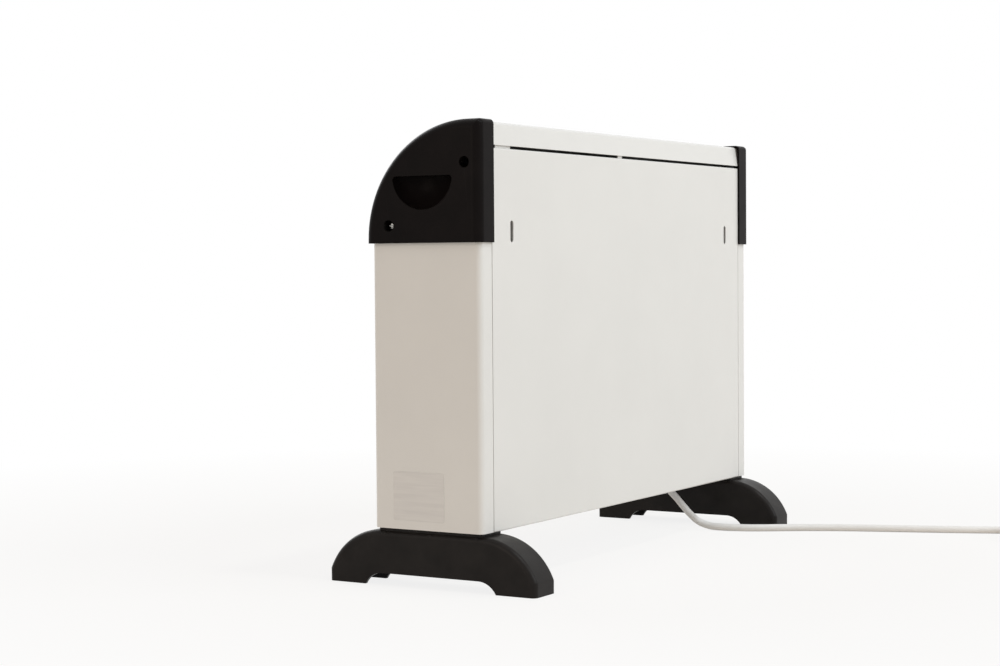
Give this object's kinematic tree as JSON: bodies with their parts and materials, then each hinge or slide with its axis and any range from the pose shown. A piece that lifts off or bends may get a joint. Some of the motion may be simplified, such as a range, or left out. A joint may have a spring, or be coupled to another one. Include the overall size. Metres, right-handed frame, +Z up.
{
  "type": "electric convector heater",
  "caption": "Free-standing or wall-hung electric convector heater: white steel body, curved outlet grille, black end caps with grips, arched feet, rocker switches, thermostat knob and mains lead.",
  "frame": {"origin": "on the floor under the middle of the heater's own box, with the knob and without the free cord", "axes": "+X along the heater to its right end as seen from the front, +Y towards the back panel, +Z up"},
  "size_m": [0.5825, 0.5333, 0.3856],
  "materials": {
    "white_steel": "glossy white powder coat with a faint orange peel",
    "black_plastic": "satin black moulding with a fine texture",
    "galvanised_steel": "bare galvanised sheet",
    "screw_steel": "bright zinc or nickel plate",
    "mica": "layered mica board with a satin sheen",
    "heating_ribbon": "dull resistance alloy ribbon",
    "ceramic": "unglazed cream steatite",
    "brass": "plain machined brass",
    "switch_red": "translucent red rocker, unlit",
    "white_cord": "smooth white PVC sheath",
    "label_foil": "blank silver-grey foil sticker",
    "lead_insulation": "heat-proof sleeved single leads"
  },
  "bodies": {
    "heater": {"casing_wrap": "white_steel", "top_grille": "white_steel", "back_panel": "white_steel", "bottom_grille": "galvanised_steel", "hanger_bracket_right": "galvanised_steel", "hanger_bracket_left": "galvanised_steel", "blank_label": "label_foil", "right_end_cap": "black_plastic", "right_cap_screw_upper": "screw_steel", "right_cap_screw_lower": "screw_steel", "right_end_plate": "galvanised_steel", "right_foot": "black_plastic", "right_foot_screw_front": "screw_steel", "right_foot_screw_rear": "screw_steel", "left_end_cap": "black_plastic", "left_cap_screw_upper": "screw_steel", "left_cap_screw_lower": "screw_steel", "left_end_plate": "galvanised_steel", "left_foot": "black_plastic", "left_foot_screw_front": "screw_steel", "left_foot_screw_rear": "screw_steel", "control_partition": "galvanised_steel", "rear_heat_shield": "galvanised_steel", "element_bracket_left": "galvanised_steel", "element_bracket_right": "galvanised_steel", "mica_board_low_power": "mica", "heating_ribbon_low_power": "heating_ribbon", "ceramic_block_low_power_left": "ceramic", "ceramic_block_low_power_right": "ceramic", "mica_board_high_power": "mica", "heating_ribbon_high_power": "heating_ribbon", "ceramic_block_high_power_left": "ceramic", "ceramic_block_high_power_right": "ceramic", "thermal_cutout": "ceramic", "control_fascia": "black_plastic", "thermostat_mount": "galvanised_steel", "thermostat_body": "ceramic", "thermostat_bimetal": "brass", "switch_1_body": "black_plastic", "switch_2_body": "black_plastic", "terminal_block": "ceramic", "lead_live_to_thermostat": "lead_insulation", "lead_thermostat_to_switches": "lead_insulation", "lead_neutral_to_cutout": "lead_insulation", "lead_switch_1_to_element": "lead_insulation", "lead_switch_2_to_element": "lead_insulation", "lead_earth": "lead_insulation", "supply_lead": "white_cord", "cord_gland": "black_plastic", "power_cord": "white_cord", "cord_coil": "white_cord", "cord_tail": "white_cord", "plug_body": "white_cord", "plug_pin_front": "screw_steel", "plug_pin_rear": "screw_steel"},
    "thermostat_dial": {"thermostat_knob": "black_plastic", "thermostat_shaft": "brass"},
    "rocker_1": {"switch_1_rocker": "switch_red"},
    "rocker_2": {"switch_2_rocker": "switch_red"}
  },
  "joints": [
    {"name": "thermostat_turn", "type": "hinge", "parent": "heater", "child": "thermostat_dial", "pos_m": [-0.2622, 0, 0.1855], "axis": [1, 0, 0], "range_deg": [0, 270]},
    {"name": "switch_1_rock", "type": "hinge", "parent": "heater", "child": "rocker_1", "pos_m": [-0.2553, -0.017, 0.2375], "axis": [0, 1, 0], "range_deg": [0, 18]},
    {"name": "switch_2_rock", "type": "hinge", "parent": "heater", "child": "rocker_2", "pos_m": [-0.2553, 0.017, 0.2375], "axis": [0, 1, 0], "range_deg": [0, 18]}
  ]
}
